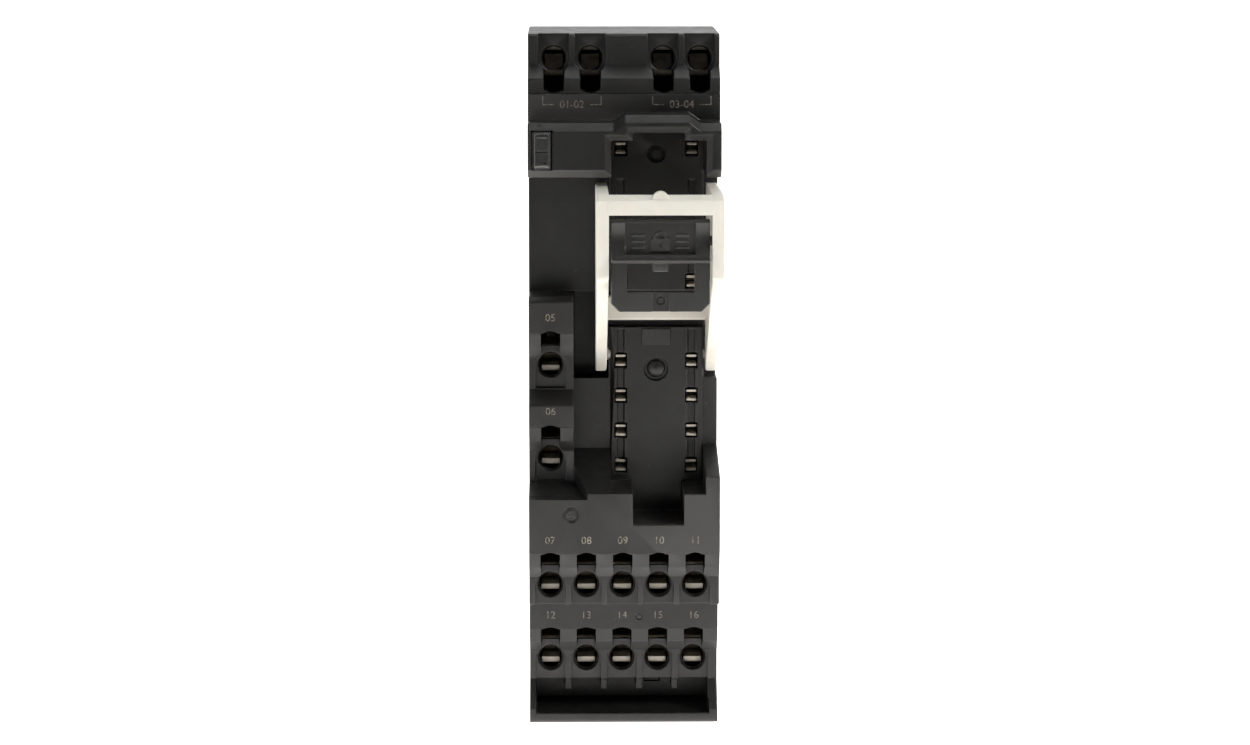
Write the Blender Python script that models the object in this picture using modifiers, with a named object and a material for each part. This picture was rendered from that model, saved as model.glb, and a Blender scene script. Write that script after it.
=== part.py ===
"""DIN-rail socket for a slim plug-in safety relay: two housing shells, a swing retaining clip with a lock
lever, fourteen conductors with fork contacts, sixteen push-in clamp springs, a status lamp and a rail latch.

The socket stands upright, as on its rail. Lengths below are in millimetres. x runs to the right, z runs up
from the lower terminals' datum, and h is the height toward the front, counted from the contact face (local Y
is minus h). Every piece hangs on one empty, the rail datum, which puts the world's origin at the middle of
the rail seat.
"""

import math

import bmesh
import bpy
from mathutils import Matrix, Vector

MM = 0.001
GAP = 0.3

# Envelope of the two shells
HALF_WIDTH = 13.5
BOTTOM, TOP = -0.5, 98.5
WALL = 1.2
REAR = -17.0
SEAM = -9.0

# Grid of the relay's contacts
LEFT_COLUMN, RIGHT_COLUMN = -0.37, 9.79
POCKET_MIDDLE = (LEFT_COLUMN + RIGHT_COLUMN) / 2
COIL_ROW = 81.98
ROWS = (68.01, 62.93, 51.50, 46.42, 41.34, 36.26)
SLOT_WIDTH, SLOT_TALL = 1.75, 2.1
TINE_WIDTH = 1.45

# Relay pocket and the levels of the housing's faces
POCKET_LEFT, POCKET_RIGHT = -1.87, 11.4
POCKET_BOTTOM, POCKET_TOP = 34.1, 84.0
SIDE_FLOOR = -0.6
BAND_FRONT = 14.0
BAND_BOTTOM, BAND_TOP = 78.9, 86.5
LOWER_FRONT = 12.2
LABEL_FRONT = 8.3
SNAP_Z = (26.9, 66.0)

# Push-in terminals: (x, z of the wire hole, h of the face around it, +1 when the release hole is above)
CELL_PITCH = 5.13
CELL_X = [-10.5 + CELL_PITCH * n for n in range(5)]
TOP_X = [-9.85 + CELL_PITCH * n for n in (0, 1, 3, 4)]
SIDE_X = -10.4
ROW_ONE_Z, ROW_TWO_Z, TOP_Z = 20.6, 8.4, 95.0
UPPER_SIDE_Z, LOWER_SIDE_Z = 51.4, 37.9
ROW_ONE_FACE, ROW_TWO_FACE, SIDE_FACE, TOP_FACE = 9.5, 2.0, 4.2, 4.3
TOP_BLOCK = 5.0
WIRE_RADIUS = 1.62
RELEASE_WIDTH = 2.75
RECESS_WIDTH = 4.25
CHAMBER_WIDTH = 3.3
RECESS_DEPTH = 0.7
BAR_WIDTH = 2.6

# Conductor layers behind the front shell
LAYER_ONE, LAYER_TWO = -9.65, -10.85
STRIP_THICK = 0.5
DOWN = None
STRIP_WIDTH = 1.2
BAR_RISE = {1: (-0.35, -1.15), -1: (-0.85, -1.5)}
# How far behind the terminal's face the current bars and the bends of the clamp springs lie.
BAR_DEPTH = {1: 3.0, -1: 6.0}
BEND_DEPTH = {1: 4.9, -1: 2.4}
TRAY_FLOOR = -11.7

# Retaining clip
CLIP_LEFT, CLIP_RIGHT = -4.0, 13.42
LEG_THICK = 1.65
PIVOT_Z, PIVOT_H = 52.3, -1.6
PIVOT_RADIUS = 0.9
LEG_TIP_RADIUS = 2.5

# Lock lever
LEVER_Z, LEVER_H = 71.3, 24.7
TRUNNION_RADIUS = 0.7
LEVER_LEFT, LEVER_RIGHT = -2.05, 11.47

# Rail seat and rail latch
RAIL_SEAT = -13.0
RAIL_MIDDLE = 50.0
LATCH_TOP = 34.0

# Status lamp
LENS_LEFT, LENS_RIGHT = -12.65, -10.35
LENS_BOTTOM, LENS_TOP = 80.3, 85.2

COLOURS = {
    "charcoal": ((0.030, 0.030, 0.028), 0.48, 0.0),
    "cream": ((0.86, 0.82, 0.72), 0.42, 0.0),
    "lever_grey": ((0.050, 0.051, 0.053), 0.42, 0.0),
    "tin": ((0.62, 0.58, 0.52), 0.32, 1.0),
    "spring_steel": ((0.50, 0.48, 0.45), 0.30, 1.0),
    "smoke": ((0.10, 0.10, 0.10), 0.08, 0.0),
    "board_green": ((0.03, 0.16, 0.07), 0.45, 0.0),
    "lamp": ((0.85, 0.80, 0.40), 0.20, 0.0),
    "resistor": ((0.02, 0.02, 0.02), 0.35, 0.0),
}

# Images of a shape's own x, y and z axes when it is extruded along x, h or z
TURNS = {
    "x": Matrix(((0, 0, 1), (0, -1, 0), (1, 0, 0))),
    "h": Matrix(((1, 0, 0), (0, 0, -1), (0, 1, 0))),
    "z": Matrix(((1, 0, 0), (0, -1, 0), (0, 0, -1))),
}
AXIS_STEP = {"x": Vector((MM, 0, 0)), "h": Vector((0, -MM, 0)), "z": Vector((0, 0, MM))}


def spot(x, z, h):
    """World position of a place given in millimetres."""
    return Vector((x * MM, -h * MM, z * MM))


# ---------------------------------------------------------------- scene and materials


def empty_scene():
    for obj in list(bpy.data.objects):
        bpy.data.objects.remove(obj)
    for name in ("relay_socket", "cutters"):
        bpy.context.scene.collection.children.link(bpy.data.collections.new(name))
    bpy.data.collections["cutters"].hide_render = True
    datum = bpy.data.objects.new("rail_datum", None)
    datum.location = (0, RAIL_SEAT * MM, -RAIL_MIDDLE * MM)
    datum.empty_display_size = 0.01
    bpy.data.collections["relay_socket"].objects.link(datum)


def material(name):
    if name in bpy.data.materials:
        return bpy.data.materials[name]
    colour, roughness, metallic = COLOURS[name]
    made = bpy.data.materials.new(name)
    made.use_nodes = True
    shader = made.node_tree.nodes["Principled BSDF"]
    shader.inputs["Base Color"].default_value = (*colour, 1.0)
    shader.inputs["Roughness"].default_value = roughness
    shader.inputs["Metallic"].default_value = metallic
    return made


def part(name, mesh, finish, origin=None):
    """A named piece. Its mesh comes in the socket's places; a moving piece gets its origin on its axis."""
    if origin is not None:
        mesh.transform(Matrix.Translation(-origin))
    mesh.materials.append(material(finish))
    obj = bpy.data.objects.new(name, mesh)
    obj.location = origin or Vector()
    obj.parent = bpy.data.objects["rail_datum"]
    bpy.data.collections["relay_socket"].objects.link(obj)
    return obj


def helper(name, mesh, place):
    """A shape that only cuts or joins another."""
    mesh.transform(Matrix.Translation(-place))
    obj = bpy.data.objects.new(name, mesh)
    obj.location = place
    obj.parent = bpy.data.objects["rail_datum"]
    obj.display_type = "WIRE"
    obj.hide_render = True
    bpy.data.collections["cutters"].objects.link(obj)
    return obj


def boolean(obj, mesh, operation, name):
    modifier = obj.modifiers.new(name, "BOOLEAN")
    modifier.operation = operation
    modifier.solver = "EXACT"
    modifier.object = helper(f"{obj.name}_{name}", mesh, obj.location)


def add(obj, mesh, name):
    boolean(obj, mesh, "UNION", name)


def cut(obj, mesh, name):
    boolean(obj, mesh, "DIFFERENCE", name)


# ---------------------------------------------------------------- shapes


def mesh_from(shape):
    mesh = bpy.data.meshes.new("shape")
    shape.to_mesh(mesh)
    shape.free()
    return mesh


def curve_mesh(curve):
    """The closed mesh of a curve, with its caps joined to its sides."""
    holder = bpy.data.objects.new("curve", curve)
    bpy.context.scene.collection.objects.link(holder)
    graph = bpy.context.evaluated_depsgraph_get()
    mesh = bpy.data.meshes.new_from_object(holder.evaluated_get(graph))
    bpy.data.objects.remove(holder)
    shape = bmesh.new()
    shape.from_mesh(mesh)
    bmesh.ops.remove_doubles(shape, verts=shape.verts, dist=1e-6)
    bmesh.ops.recalc_face_normals(shape, faces=shape.faces)
    return mesh_from(shape)


def prism(axis, outline, low, high):
    """A flat outline extruded from low to high along axis. Outlines are (z, h) along x, (x, z) along h and
    (x, h) along z."""
    curve = bpy.data.curves.new("outline", "CURVE")
    curve.dimensions = "2D"
    curve.fill_mode = "BOTH"
    curve.extrude = (high - low) * MM / 2
    spline = curve.splines.new("POLY")
    spline.points.add(len(outline) - 1)
    for place, (u, v) in zip(spline.points, outline):
        place.co = (u * MM, v * MM, 0, 1)
    spline.use_cyclic_u = True
    mesh = curve_mesh(curve)
    mesh.transform(Matrix.Translation(AXIS_STEP[axis] * (low + high) / 2) @ TURNS[axis].to_4x4())
    return mesh


def box(x0, x1, z0, z1, h0, h1):
    shape = bmesh.new()
    bmesh.ops.create_cube(shape, size=1.0)
    size = Matrix.Diagonal(((x1 - x0) * MM, (h1 - h0) * MM, (z1 - z0) * MM, 1.0))
    middle = Matrix.Translation(spot((x0 + x1) / 2, (z0 + z1) / 2, (h0 + h1) / 2))
    bmesh.ops.transform(shape, matrix=middle @ size, verts=shape.verts)
    return mesh_from(shape)


def round_bar(axis, x, z, h, radius, low, high, end_radius=None, segments=16):
    """A cylinder or cone along axis, from low to high; end_radius is its radius at high."""
    shape = bmesh.new()
    bmesh.ops.create_cone(
        shape,
        cap_ends=True,
        segments=segments,
        radius1=radius * MM,
        radius2=(radius if end_radius is None else end_radius) * MM,
        depth=(high - low) * MM,
    )
    bmesh.ops.transform(shape, matrix=TURNS[axis].to_4x4(), verts=shape.verts)
    along = AXIS_STEP[axis] * (low + high) / 2
    across = spot(0 if axis == "x" else x, 0 if axis == "z" else z, 0 if axis == "h" else h)
    bmesh.ops.translate(shape, vec=along + across, verts=shape.verts)
    return mesh_from(shape)


def together(meshes):
    """Shapes that don't touch, as one mesh."""
    shape = bmesh.new()
    for mesh in meshes:
        shape.from_mesh(mesh)
        bpy.data.meshes.remove(mesh)
    return mesh_from(shape)


def arc(centre, radius, start, end, steps):
    """Points of an arc, in degrees."""
    angles = [math.radians(start + (end - start) * n / steps) for n in range(steps + 1)]
    return [(centre[0] + radius * math.cos(a), centre[1] + radius * math.sin(a)) for a in angles]


def flared(outline, grow, h0, h1):
    """A prism along h whose front end is the outline pushed out by grow, for a bevelled mouth."""
    shape = bmesh.new()
    shape.from_mesh(prism("h", outline, h0, h1))
    count = len(outline)
    front = -h1 * MM
    for vert in shape.verts:
        if abs(vert.co.y - front) > 1e-6:
            continue
        n = min(range(count), key=lambda k: (spot(*outline[k], h1) - vert.co).length)
        before, here, after = (Vector(outline[(n + k) % count]) for k in (-1, 0, 1))
        normals = [Vector((e.y, -e.x)).normalized() for e in (here - before, after - here)]
        push = (normals[0] + normals[1]) * grow / (1 + normals[0].dot(normals[1]))
        vert.co += Vector((push.x * MM, 0, push.y * MM))
    return mesh_from(shape)


# ---------------------------------------------------------------- front shell


def terminals():
    """Every push-in terminal as (x, z, face, up)."""
    found = [(x, TOP_Z, TOP_FACE, -1) for x in TOP_X]
    found += [(SIDE_X, UPPER_SIDE_Z, SIDE_FACE, 1), (SIDE_X, LOWER_SIDE_Z, SIDE_FACE, 1)]
    found += [(x, ROW_ONE_Z, ROW_ONE_FACE, 1) for x in CELL_X]
    found += [(x, ROW_TWO_Z, ROW_TWO_FACE, 1) for x in CELL_X]
    return found


def contacts():
    """Every contact slot's centre as (x, z)."""
    return [(x, z) for z in (COIL_ROW, *ROWS) for x in (LEFT_COLUMN, RIGHT_COLUMN)]


def body_profile():
    """Side outline of the front shell as (z, h), from the bottom lip up to the top face."""
    lip = arc((BOTTOM + 0.6, 4.4), 0.6, 180, 90, 3)
    row_two = [(1.6, 4.9), (5.4, 2.0), (9.8, 2.0), (9.8, 2.5), (11.3, 4.0), (13.3, 4.6), (13.4, 5.0)]
    row_one = [(17.7, 5.0), (17.7, 9.5), (21.9, 9.5), (21.9, 10.0), (23.6, 11.2), (25.4, 11.8)]
    shoulder = [(25.5, LOWER_FRONT), (POCKET_BOTTOM, LOWER_FRONT), (POCKET_BOTTOM, SIDE_FLOOR)]
    band = [(BAND_BOTTOM, SIDE_FLOOR), (BAND_BOTTOM, LABEL_FRONT)]
    top = [(90.2, LABEL_FRONT), (90.3, 8.0), (92.4, 8.0), (94.1, TOP_BLOCK), (TOP - 0.4, TOP_BLOCK)]
    lower = [(BOTTOM, SEAM), *lip, *row_two, *row_one, *shoulder]
    return lower + [*band, *top, (TOP, TOP_BLOCK - 0.4), (TOP, SEAM)]


def side_column_profile():
    """Side outline of the two blocks on the left, as (z, h)."""
    lower = [(33.6, -2), (33.6, 11.0), (34.7, SIDE_FACE), (39.2, SIDE_FACE), (39.2, 4.7), (40.7, 5.6)]
    lower += [(42.7, 6.0), (42.8, 6.3), (45.9, 6.3), (47.9, SIDE_FACE)]
    upper = [(52.7, SIDE_FACE), (52.7, 4.7), (54.1, 5.6), (56.1, 6.0), (56.2, 6.3), (60.7, 6.3)]
    return lower + upper + [(61.4, 5.3), (61.4, -2)]


def band_mesh():
    """Raised band across the shell, with its hump and its chamfered long edges."""
    hump = [(10.6, BAND_TOP), (9.0, BAND_TOP + 1.15), (0.1, BAND_TOP + 1.15), (-1.6, BAND_TOP)]
    top = [(HALF_WIDTH, BAND_TOP), *hump, (-HALF_WIDTH, BAND_TOP)]
    outline = [(-HALF_WIDTH, BAND_BOTTOM), (HALF_WIDTH, BAND_BOTTOM), *top]
    chamfer = 1.15
    shape = bmesh.new()
    shape.from_mesh(prism("h", outline, 6.0, BAND_FRONT - chamfer))
    front = -(BAND_FRONT - chamfer) * MM
    cap = [face for face in shape.faces if all(abs(v.co.y - front) < 1e-6 for v in face.verts)]
    raised = bmesh.ops.extrude_face_region(shape, geom=cap)["geom"]
    bmesh.ops.delete(shape, geom=cap, context="FACES_ONLY")
    for vert in (v for v in raised if isinstance(v, bmesh.types.BMVert)):
        inward = 1 if vert.co.z < (BAND_BOTTOM + 1) * MM else -1
        vert.co += Vector((0, -chamfer * MM, inward * chamfer * MM))
    bmesh.ops.recalc_face_normals(shape, faces=shape.faces)
    return mesh_from(shape)


def pocket_outline():
    """T-shaped opening in the band, as (x, z)."""
    wide = [(POCKET_LEFT, 77.0), (POCKET_RIGHT, 77.0), (POCKET_RIGHT, POCKET_TOP), (8.3, POCKET_TOP)]
    return wide + [(8.3, 85.1), (1.2, 85.1), (1.2, POCKET_TOP), (POCKET_LEFT, POCKET_TOP)]


def funnel_outline(x):
    """Keyhole outline of a top terminal: a wide wire funnel, curved shoulders and a narrow release slot."""
    half, slot = 2.17, RELEASE_WIDTH / 2 + 0.06
    shoulder = arc((half - 1.3, 94.6), 1.3, 0, -45, 3) + [(slot, 93.4)]
    right = [(slot, 91.2), *reversed(shoulder), (half, TOP + 1)]
    left = [(-u, v) for u, v in reversed(right)]
    return [(x + u, v) for u, v in right + left]


def lower_notch(x):
    """Release hole of a top terminal with a shallow arched notch at its lower edge, as (x, z)."""
    half = RELEASE_WIDTH / 2
    notch = arc((x, 91.95), 1.7, 230, 310, 4)
    return [(x + half, 90.6), (x + half, 93.35), (x - half, 93.35), (x - half, 90.6), *notch]


def recess_outline(x, z, bottom):
    """U-shaped recess below a round wire hole, as (x, z)."""
    half = RECESS_WIDTH / 2
    return [(x - half, bottom), (x + half, bottom), *arc((x, z), half, 0, 180, 8)]


def notched_slot(x, z0, z1):
    """Release hole with a shallow arched notch at its top, as (x, z)."""
    half = RELEASE_WIDTH / 2
    return [(x - half, z0), (x + half, z0), (x + half, z1 - 0.25), *arc((x, z1 - 1.55), 1.7, 50, 130, 4),
            (x - half, z1 - 0.25)]


def release_holes():
    """Cutters of the release holes of every terminal but the top ones."""
    return together([
        prism("h", notched_slot(x, z + 2.75, z + 5.0), face - 3.5, face + 5)
        for x, z, face, up in terminals() if up > 0
    ])


def chambers():
    """Hollow behind each terminal for its clamp, open to the rear."""
    cells = []
    for x, z, face, up in terminals():
        low, high = sorted((z - 2.1 * up, z + 5.2 * up))
        cells.append(box(x - CHAMBER_WIDTH / 2, x + CHAMBER_WIDTH / 2, low, high, SEAM - 1, face - 1.6))
    return together(cells)


def release_channels():
    """Shallow channels that lead from each release hole down to its wire recess."""
    half = RELEASE_WIDTH / 2 - 0.08
    return together([
        box(x - half, x + half, z + 1.4, z + 3.2, face - 0.6, face + 5)
        for x, z, face, up in terminals() if up > 0
    ])


def wire_holes():
    return together([
        round_bar("h", x, z, 0, WIRE_RADIUS, face - 3.5, face + 0.6)
        for x, z, face, up in terminals()
    ])


def wire_hole_rims():
    """Bevelled rims of the round wire holes."""
    return together([
        round_bar("h", x, z, 0, WIRE_RADIUS, face - 1.25, face - 0.65, WIRE_RADIUS + 0.3)
        for x, z, face, up in terminals()
    ])


def wire_recesses():
    ends = {ROW_ONE_Z: 17.6, ROW_TWO_Z: 5.3, UPPER_SIDE_Z: 48.1, LOWER_SIDE_Z: 34.7}
    return together([
        prism("h", recess_outline(x, z, ends[z]), face - RECESS_DEPTH, face + 1)
        for x, z, face, up in terminals() if up > 0
    ])


def contact_slots():
    return together([
        box(x - SLOT_WIDTH / 2, x + SLOT_WIDTH / 2, z - SLOT_TALL / 2, z + SLOT_TALL / 2, SEAM - 1, 1)
        for x, z in contacts()
    ])


def contact_grooves():
    """Shallow grooves that join the contact slots of a column."""
    pairs = ((ROWS[5], 56.0), (ROWS[1], 77.5))
    return together([
        box(x - 0.5, x + 0.5, low, high, -0.45, 0.2)
        for x in (LEFT_COLUMN, RIGHT_COLUMN) for low, high in pairs
    ])


def clip_slots():
    """Deep slots for the clip's side plates, and the trough for its cross bar."""
    left = box(-7.1, -2.1, 48.9, 61.4, -6, 3)
    right = box(11.6, HALF_WIDTH + 1, 48.9, 61.4, -6, 3)
    return together([left, right])


def band_details(shell):
    """Opening of the band, bevelled at the front, and the status window with its board chamber."""
    cut(shell, prism("h", pocket_outline(), 0, BAND_FRONT + 1), "pocket")
    cut(shell, flared(pocket_outline(), 1.0, BAND_FRONT - 0.9, BAND_FRONT + 0.1), "pocket_bevel")
    cut(shell, box(LENS_LEFT - GAP, LENS_RIGHT + GAP, LENS_BOTTOM - GAP, LENS_TOP + GAP, 6, 15), "window")
    cut(shell, box(LENS_LEFT - GAP, -7.6, 79.6, 86.2, SEAM - 1, 7), "board_chamber")


def pocket_details(shell):
    """Bosses on the contact face."""
    x = POCKET_MIDDLE
    rings = [round_bar("h", x, 50.3, 0, 1.75, -0.5, 1), round_bar("h", x, 81.2, 0, 1.3, -0.9, 1)]
    cut(shell, together(rings), "rings")
    cut(shell, contact_grooves(), "grooves")
    add(shell, together([low_dome(x, 50.3), round_bar("h", x, 81.2, 0, 0.65, -1.5, -0.2),
                         box(x - 2.05, x + 2.05, 53.8, 56.1, -0.5, 0.3)]), "bosses")


def low_dome(x, z):
    """Low round dome, as a flattened ball sunk in its ring."""
    shape = bmesh.new()
    bmesh.ops.create_uvsphere(shape, u_segments=16, v_segments=8, radius=1.3 * MM)
    flat = Matrix.Diagonal((1.0, 0.62, 1.0, 1.0))
    bmesh.ops.transform(shape, matrix=Matrix.Translation(spot(x, z, -0.5)) @ flat, verts=shape.verts)
    return mesh_from(shape)


def ramps(shell):
    """Sloping walls that lead from the side floors up to the lower block."""
    left_plan = [(-7.3, -2), (-1.87, -2), (-1.87, LOWER_FRONT), (-5.2, LOWER_FRONT), (-7.3, 3.4)]
    left = prism("z", left_plan, 33.0, 38.8)
    right = prism("x", [(33.0, -2), (39.3, -2), (39.3, SIDE_FLOOR), (36.6, LOWER_FRONT), (33.0, LOWER_FRONT)],
                  11.45, HALF_WIDTH)
    add(shell, together([left, right]), "ramps")
    foot, brow = (38.7, SIDE_FLOOR), (POCKET_BOTTOM, LOWER_FRONT + 0.01)
    slope = [foot, brow, (POCKET_BOTTOM, 16), (42, 16), (42, SIDE_FLOOR)]
    cut(shell, prism("x", slope, -7.09, -1.5), "ramp_slope")


def front_shell():
    shell = part("housing_front", prism("x", body_profile(), -HALF_WIDTH, HALF_WIDTH), "charcoal")
    add(shell, band_mesh(), "band")
    ledge = [(34.7, SIDE_FACE), (33.3, LOWER_FRONT + 0.1), (36, LOWER_FRONT + 0.1), (36, SIDE_FACE)]
    cut(shell, prism("x", ledge, -HALF_WIDTH - 1, -5.0), "ledge")
    ramps(shell)
    add(shell, prism("x", side_column_profile(), -HALF_WIDTH, -7.1), "side_column")
    add(shell, box(POCKET_LEFT, POCKET_RIGHT, 33, 80, -2, 0), "contact_face")
    cut(shell, box(1.2, 8.4, 29.7, 35, 0, 14), "key_notch")
    band_details(shell)
    cut(shell, clip_slots(), "clip_slots")
    cut(shell, box(-3, 12.5, 56.3, 61.5, -2, 1), "cross_bar_trough")
    cut(shell, together([
        round_bar("x", 0, PIVOT_Z, PIVOT_H, PIVOT_RADIUS + GAP, -3.0, -1.55),
        round_bar("x", 0, PIVOT_Z, PIVOT_H, PIVOT_RADIUS + GAP, 11.1, 12.5),
    ]), "pivot_holes")
    pocket_details(shell)
    cut(shell, contact_slots(), "contact_slots")
    cut(shell, chambers(), "chambers")
    cut(shell, wire_recesses(), "wire_recesses")
    cut(shell, release_channels(), "release_channels")
    funnels = [prism("h", funnel_outline(x), TOP_FACE - RECESS_DEPTH, 12) for x in TOP_X]
    cut(shell, together(funnels), "funnels")
    cut(shell, wire_holes(), "wire_holes")
    cut(shell, wire_hole_rims(), "wire_hole_rims")
    cut(shell, release_holes(), "release_holes")
    cut(shell, together([prism("h", lower_notch(x), 1.2, 9) for x in TOP_X]), "top_release_holes")
    cut(shell, box(-12.6, 12.3, 1.0, 3.0, -6, 7), "label_slot")
    cut(shell, together([box(x - 2.12, x + 2.12, 2.9, 5.4, -6, 5) for x in CELL_X]), "label_cells")
    cut(shell, box(-12.55, 12.15, 2.95, 5.25, -1.5, 5.1), "rib_step")
    windows = [box(*sorted((side * 12.2, side * 14.5)), z, z + 5.6, SEAM - 1, -4)
               for side in (-1, 1) for z in SNAP_Z]
    cut(shell, together(windows), "snap_windows")


# ---------------------------------------------------------------- rear shell and rail latch


def base_shell():
    """Rear shell: a tray over the conductors, the rail recess with its fixed hook, and the latch guide."""
    tray = box(-HALF_WIDTH, HALF_WIDTH, BOTTOM, TOP, REAR, SEAM - GAP)
    base = part("housing_base", tray, "charcoal")
    cut(base, box(-HALF_WIDTH + WALL, HALF_WIDTH - WALL, BOTTOM + WALL, TOP - WALL, TRAY_FLOOR, 0), "tray")
    # The seat lies between two shallow reliefs, which clear the rail's edges by the hook and the latch's nose.
    relief = RAIL_SEAT + 0.2
    hook = [(66.0, REAR - 1), (66.0, -14.5), (68.3, -14.5), (68.3, relief), (65.7, relief), (65.6, RAIL_SEAT)]
    recess = [(31.9, REAR - 1), *hook, (34.4, RAIL_SEAT), (34.3, relief), (31.9, relief)]
    cut(base, prism("x", recess, -HALF_WIDTH - 1, HALF_WIDTH + 1), "rail_recess")
    guide = [(-3.4, REAR - 1), (3.4, REAR - 1), (3.4, -15.6), (5.0, -15.5), (5.0, -14.1), (-5.0, -14.1),
             (-5.0, -15.5), (-3.4, -15.6)]
    cut(base, prism("z", guide, BOTTOM - 1, 33), "latch_guide")
    upper = [box(s * 6.6 - 4.9, s * 6.6 + 4.9, 71.0, 95.5, REAR - 1, -13.4) for s in (-1, 1)]
    lower = [box(s * 9.25 - 2.9, s * 9.25 + 2.9, 3.0, 29.5, REAR - 1, -13.4) for s in (-1, 1)]
    cut(base, together(upper + lower), "cored_pockets")
    stop = box(-1.2, 1.2, 12.3, 14.0, -16.4, -13.0)
    arms = [box(*sorted((s * 12.5, s * 13.35)), z + GAP, z + 5.3, SEAM - 1.5, -4.4)
            for s in (-1, 1) for z in SNAP_Z]
    add(base, together([stop, *arms]), "stop_and_arms")
    return base


def rail_latch():
    """Sliding foot: a T-shaped plate with a sloped nose, a spring window and a lever slot in its tail."""
    plate = prism("z", [(-3.1, -16.7), (3.1, -16.7), (3.1, -15.3), (4.7, -15.2), (4.7, -14.4), (-4.7, -14.4),
                        (-4.7, -15.2), (-3.1, -15.3)], BOTTOM + GAP, LATCH_TOP)
    latch = part("rail_latch", plate, "charcoal", spot(0, 0, REAR))
    cut(latch, box(-1.5, 1.5, 12.0, 24.0, -18, -14), "spring_window")
    cut(latch, prism("x", [(31.0, -16.8), (35, -16.8), (35, -14.9)], -6, 6), "nose_slope")
    cut(latch, box(-1.8, 1.8, 1.6, 3.0, -18, -14), "lever_slot")
    return latch


def coil_spring():
    """Compression spring between the base's stop and the top of the latch's window."""
    low, high, radius, wire, turns, steps = 14.45, 23.55, 0.95, 0.2, 6, 10
    closed = 2.1 * wire
    curve = bpy.data.curves.new("coil", "CURVE")
    curve.dimensions = "3D"
    curve.bevel_depth = wire * MM
    curve.bevel_resolution = 1
    curve.use_fill_caps = True
    spline = curve.splines.new("POLY")
    count = turns * steps
    spline.points.add(count)
    for n, place in enumerate(spline.points):
        # The first and last turns are closed, so they rise by little more than the wire's thickness.
        ends = min(n, steps) + max(n - count + steps, 0)
        middle = min(max((n - steps) / (count - 2 * steps), 0.0), 1.0)
        z = low + wire + closed * ends / steps + (high - low - 2 * wire - 2 * closed) * middle
        turn = 2 * math.pi * n / steps
        place.co = (*spot(radius * math.cos(turn), z, -15.45 + radius * math.sin(turn)), 1)
    return part("rail_latch_spring", curve_mesh(curve), "spring_steel")


# ---------------------------------------------------------------- retaining clip and lock lever


def leg_profile():
    """Side plate of the clip as (z, h): straight back edge, slanted top and front edges, round tip."""
    front = [(77.7, 24.6), (76.9, 26.4), (66.0, 25.9)]
    pivot = (PIVOT_Z, PIVOT_H)
    tip = arc(pivot, LEG_TIP_RADIUS, 158, 270, 7) + arc(pivot, LEG_TIP_RADIUS, 300, 362, 3)
    return [(61.0, -1.5), (61.0, 0.3), (77.1, 0.3), *front, *tip]


def retaining_clip():
    """Swing frame: two side plates, the top bar with its bump, the ejector bar and inward pivot pins."""
    legs = together([prism("x", leg_profile(), CLIP_LEFT, CLIP_LEFT + LEG_THICK),
                     prism("x", leg_profile(), CLIP_RIGHT - LEG_THICK, CLIP_RIGHT)])
    clip = part("retaining_clip", legs, "cream", spot(POCKET_MIDDLE, PIVOT_Z, PIVOT_H))
    inner_left, inner_right = CLIP_LEFT + LEG_THICK - 0.2, CLIP_RIGHT - LEG_THICK + 0.2
    bar = prism("x", [(74.9, 24.6), (77.6, 24.6), (76.9, 26.4), (74.9, 26.4)], inner_left, inner_right)
    ejector = box(inner_left, inner_right, 57.3, 60.8, -1.4, 0.1)
    bump = prism("h", arc((POCKET_MIDDLE, 77.0), 1.15, 0, 180, 8), 24.6, 26.1)
    pins = [round_bar("x", 0, PIVOT_Z, PIVOT_H, PIVOT_RADIUS, CLIP_LEFT + 0.5, -1.75),
            round_bar("x", 0, PIVOT_Z, PIVOT_H, PIVOT_RADIUS, 11.3, CLIP_RIGHT - 0.5)]
    add(clip, together([bar, ejector]), "bars")
    add(clip, bump, "bump")
    add(clip, together(pins), "pins")
    bores = [round_bar("x", 0, LEVER_Z, LEVER_H, TRUNNION_RADIUS + GAP, CLIP_LEFT - 1, -1),
             round_bar("x", 0, LEVER_Z, LEVER_H, TRUNNION_RADIUS + GAP, 11, CLIP_RIGHT + 1)]
    cut(clip, together(bores), "trunnion_bores")


def lever_profile():
    """Lock lever as (z, h): thin plate below, pull lip, and a scooped thumb pad above."""
    lip = [(68.3, 25.6), (68.5, 27.2), (68.95, 27.3)]
    scoop = arc((71.9, 29.3), 3.9, 222, 300, 7)
    return [(61.6, 24.6), (61.6, 25.6), *lip, *scoop, (74.3, 25.7), (74.3, 24.6)]


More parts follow.
